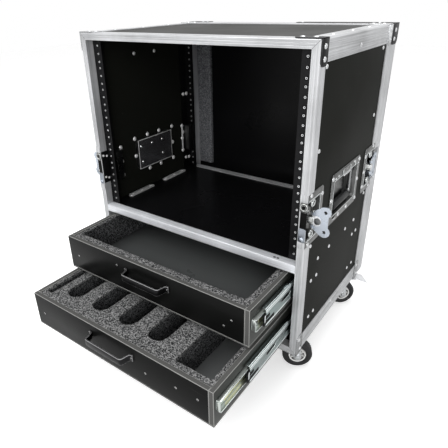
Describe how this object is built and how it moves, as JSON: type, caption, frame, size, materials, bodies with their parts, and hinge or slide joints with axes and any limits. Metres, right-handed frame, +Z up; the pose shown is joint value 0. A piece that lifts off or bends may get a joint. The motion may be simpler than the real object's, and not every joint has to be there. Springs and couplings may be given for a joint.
{
  "type": "road case with drawers",
  "caption": "Wheeled road case with an open rack bay above two sliding drawers, foam inserts, side handles, butterfly latches and a lift-off rear lid.",
  "frame": {"origin": "middle of the outline, with the drawers out as shown, on the floor under the wheels", "axes": "+Z up, +Y from the open front with the drawers towards the rear lid, +X to the right as seen from the front"},
  "size_m": [0.588, 0.6546, 0.675],
  "materials": {
    "panel": "black laminated plywood, satin",
    "drawer_board": "black laminated plywood with grey raw edges",
    "extrusion": "mill-finished ribbed extrusion",
    "rail": "black powder coat",
    "foam": "open-cell packing foam, cut",
    "pull": "black coated strip",
    "slide": "zinc-plated steel",
    "wing": "zinc-plated steel",
    "fitting": "zinc-plated pressed steel",
    "bail": "zinc-plated rod with a moulded dark grip",
    "wheel": "black tread, pale hub ring",
    "caster": "zinc-plated pressed steel"
  },
  "bodies": {
    "case": {"front_frame": "extrusion", "rear_frame": "extrusion", "divider_front_bar": "extrusion", "edge_top_right": "extrusion", "edge_top_left": "extrusion", "edge_bottom_right": "extrusion", "edge_bottom_left": "extrusion", "side_panel_right": "panel", "side_panel_left": "panel", "top_panel": "panel", "divider_shelf": "panel", "bottom_panel": "panel", "rack_rail_front_right": "rail", "rack_rail_front_left": "rail", "rack_rail_rear_right": "rail", "rack_rail_rear_left": "rail", "handle_dish_right": "fitting", "handle_dish_left": "fitting", "latch_dish_front_right": "fitting", "latch_dish_front_left": "fitting", "latch_dish_rear_right": "fitting", "latch_dish_rear_left": "fitting", "upper_slide_outer_right": "slide", "upper_slide_outer_left": "slide", "lower_slide_outer_right": "slide", "lower_slide_outer_left": "slide"},
    "handle_bail_right": {"handle_bail_right": "bail"},
    "handle_bail_left": {"handle_bail_left": "bail"},
    "latch_hub_front_right": {"latch_hub_front_right": "fitting"},
    "latch_hub_front_left": {"latch_hub_front_left": "fitting"},
    "latch_wing_front_right": {"latch_wing_front_right": "wing"},
    "latch_wing_front_left": {"latch_wing_front_left": "wing"},
    "latch_hub_rear_right": {"latch_hub_rear_right": "fitting"},
    "latch_hub_rear_left": {"latch_hub_rear_left": "fitting"},
    "latch_wing_rear_right": {"latch_wing_rear_right": "wing"},
    "latch_wing_rear_left": {"latch_wing_rear_left": "wing"},
    "rear_lid": {"lid_rim": "extrusion", "lid_panel": "panel", "lid_foam_right": "foam", "lid_foam_left": "foam"},
    "upper_drawer": {"upper_drawer_box": "drawer_board", "upper_drawer_foam": "foam", "upper_drawer_pull": "pull"},
    "upper_slides": {"upper_slide_middle_right": "slide", "upper_slide_middle_left": "slide"},
    "lower_drawer": {"lower_drawer_box": "drawer_board", "lower_drawer_foam": "foam", "lower_drawer_pull": "pull"},
    "lower_slides": {"lower_slide_middle_right": "slide", "lower_slide_middle_left": "slide"},
    "caster_fork_front_right": {"caster_fork_front_right": "caster"},
    "caster_wheel_front_right": {"caster_wheel_front_right": "wheel"},
    "caster_fork_front_left": {"caster_fork_front_left": "caster"},
    "caster_wheel_front_left": {"caster_wheel_front_left": "wheel"},
    "caster_fork_rear_right": {"caster_fork_rear_right": "caster"},
    "caster_wheel_rear_right": {"caster_wheel_rear_right": "wheel"},
    "caster_pedal_rear_right": {"caster_pedal_rear_right": "caster"},
    "caster_fork_rear_left": {"caster_fork_rear_left": "caster"},
    "caster_wheel_rear_left": {"caster_wheel_rear_left": "wheel"},
    "caster_pedal_rear_left": {"caster_pedal_rear_left": "caster"}
  },
  "joints": [
    {"name": "rear_lid_off", "type": "slide", "parent": "case", "child": "rear_lid", "axis": [0, 1, 0], "range_m": [0, 0.06]},
    {"name": "upper_slides_out", "type": "slide", "parent": "case", "child": "upper_slides", "axis": [0, -1, 0], "range_m": [-0.1152, 0.0548]},
    {"name": "upper_drawer_out", "type": "slide", "parent": "upper_slides", "child": "upper_drawer", "axis": [0, -1, 0], "range_m": [-0.0363, 0.1137]},
    {"name": "lower_slides_out", "type": "slide", "parent": "case", "child": "lower_slides", "axis": [0, -1, 0], "range_m": [-0.165, 0.005]},
    {"name": "lower_drawer_out", "type": "slide", "parent": "lower_slides", "child": "lower_drawer", "axis": [0, -1, 0], "range_m": [-0.0921, 0.0579]},
    {"name": "latch_turn_front_right", "type": "hinge", "parent": "case", "child": "latch_hub_front_right", "pos_m": [0.262, -0.04525, 0.383], "axis": [1, 0, 0], "range_deg": [0, 180]},
    {"name": "latch_fold_front_right", "type": "hinge", "parent": "latch_hub_front_right", "child": "latch_wing_front_right", "pos_m": [0.262, -0.04525, 0.383], "axis": [0, 0, 1], "range_deg": [-90, 0]},
    {"name": "latch_turn_front_left", "type": "hinge", "parent": "case", "child": "latch_hub_front_left", "pos_m": [-0.262, -0.04525, 0.383], "axis": [1, 0, 0], "range_deg": [0, 180]},
    {"name": "latch_fold_front_left", "type": "hinge", "parent": "latch_hub_front_left", "child": "latch_wing_front_left", "pos_m": [-0.262, -0.04525, 0.383], "axis": [0, 0, -1], "range_deg": [-90, 0]},
    {"name": "latch_turn_rear_right", "type": "hinge", "parent": "case", "child": "latch_hub_rear_right", "pos_m": [0.262, 0.26495, 0.383], "axis": [1, 0, 0], "range_deg": [0, 180]},
    {"name": "latch_fold_rear_right", "type": "hinge", "parent": "latch_hub_rear_right", "child": "latch_wing_rear_right", "pos_m": [0.262, 0.26495, 0.383], "axis": [0, 0, -1], "range_deg": [0, 90]},
    {"name": "latch_turn_rear_left", "type": "hinge", "parent": "case", "child": "latch_hub_rear_left", "pos_m": [-0.262, 0.26495, 0.383], "axis": [1, 0, 0], "range_deg": [0, 180]},
    {"name": "latch_fold_rear_left", "type": "hinge", "parent": "latch_hub_rear_left", "child": "latch_wing_rear_left", "pos_m": [-0.262, 0.26495, 0.383], "axis": [0, 0, 1], "range_deg": [0, 90]},
    {"name": "handle_lift_right", "type": "hinge", "parent": "case", "child": "handle_bail_right", "pos_m": [0.2506, 0.11275, 0.411], "axis": [0, -1, 0], "range_deg": [0, 90], "stiffness_Nm_per_rad": 0.2},
    {"name": "handle_lift_left", "type": "hinge", "parent": "case", "child": "handle_bail_left", "pos_m": [-0.2506, 0.11275, 0.411], "axis": [0, 1, 0], "range_deg": [0, 90], "stiffness_Nm_per_rad": 0.2},
    {"name": "caster_swivel_front_right", "type": "hinge", "parent": "case", "child": "caster_fork_front_right", "pos_m": [0.21, -0.01065, 0.077], "axis": [0, 0, 1], "continuous": true},
    {"name": "wheel_roll_front_right", "type": "hinge", "parent": "caster_fork_front_right", "child": "caster_wheel_front_right", "pos_m": [0.23425, 0.00335, 0.032], "axis": [-0.5, 0.866, 0], "continuous": true},
    {"name": "caster_swivel_front_left", "type": "hinge", "parent": "case", "child": "caster_fork_front_left", "pos_m": [-0.21, -0.01065, 0.077], "axis": [0, 0, 1], "continuous": true},
    {"name": "wheel_roll_front_left", "type": "hinge", "parent": "caster_fork_front_left", "child": "caster_wheel_front_left", "pos_m": [-0.23425, 0.00335, 0.032], "axis": [-0.5, -0.866, 0], "continuous": true},
    {"name": "caster_swivel_rear_right", "type": "hinge", "parent": "case", "child": "caster_fork_rear_right", "pos_m": [0.21, 0.25275, 0.077], "axis": [0, 0, 1], "continuous": true},
    {"name": "wheel_roll_rear_right", "type": "hinge", "parent": "caster_fork_rear_right", "child": "caster_wheel_rear_right", "pos_m": [0.23081, 0.27149, 0.032], "axis": [-0.6691, 0.7431, 0], "continuous": true},
    {"name": "brake_rear_right", "type": "hinge", "parent": "caster_fork_rear_right", "child": "caster_pedal_rear_right", "pos_m": [0.23081, 0.27149, 0.0699], "axis": [-0.6691, 0.7431, 0], "range_deg": [0, 10]},
    {"name": "caster_swivel_rear_left", "type": "hinge", "parent": "case", "child": "caster_fork_rear_left", "pos_m": [-0.21, 0.25275, 0.077], "axis": [0, 0, 1], "continuous": true},
    {"name": "wheel_roll_rear_left", "type": "hinge", "parent": "caster_fork_rear_left", "child": "caster_wheel_rear_left", "pos_m": [-0.23081, 0.27149, 0.032], "axis": [-0.6691, -0.7431, 0], "continuous": true},
    {"name": "brake_rear_left", "type": "hinge", "parent": "caster_fork_rear_left", "child": "caster_pedal_rear_left", "pos_m": [-0.23081, 0.27149, 0.0699], "axis": [-0.6691, -0.7431, 0], "range_deg": [0, 10]}
  ]
}
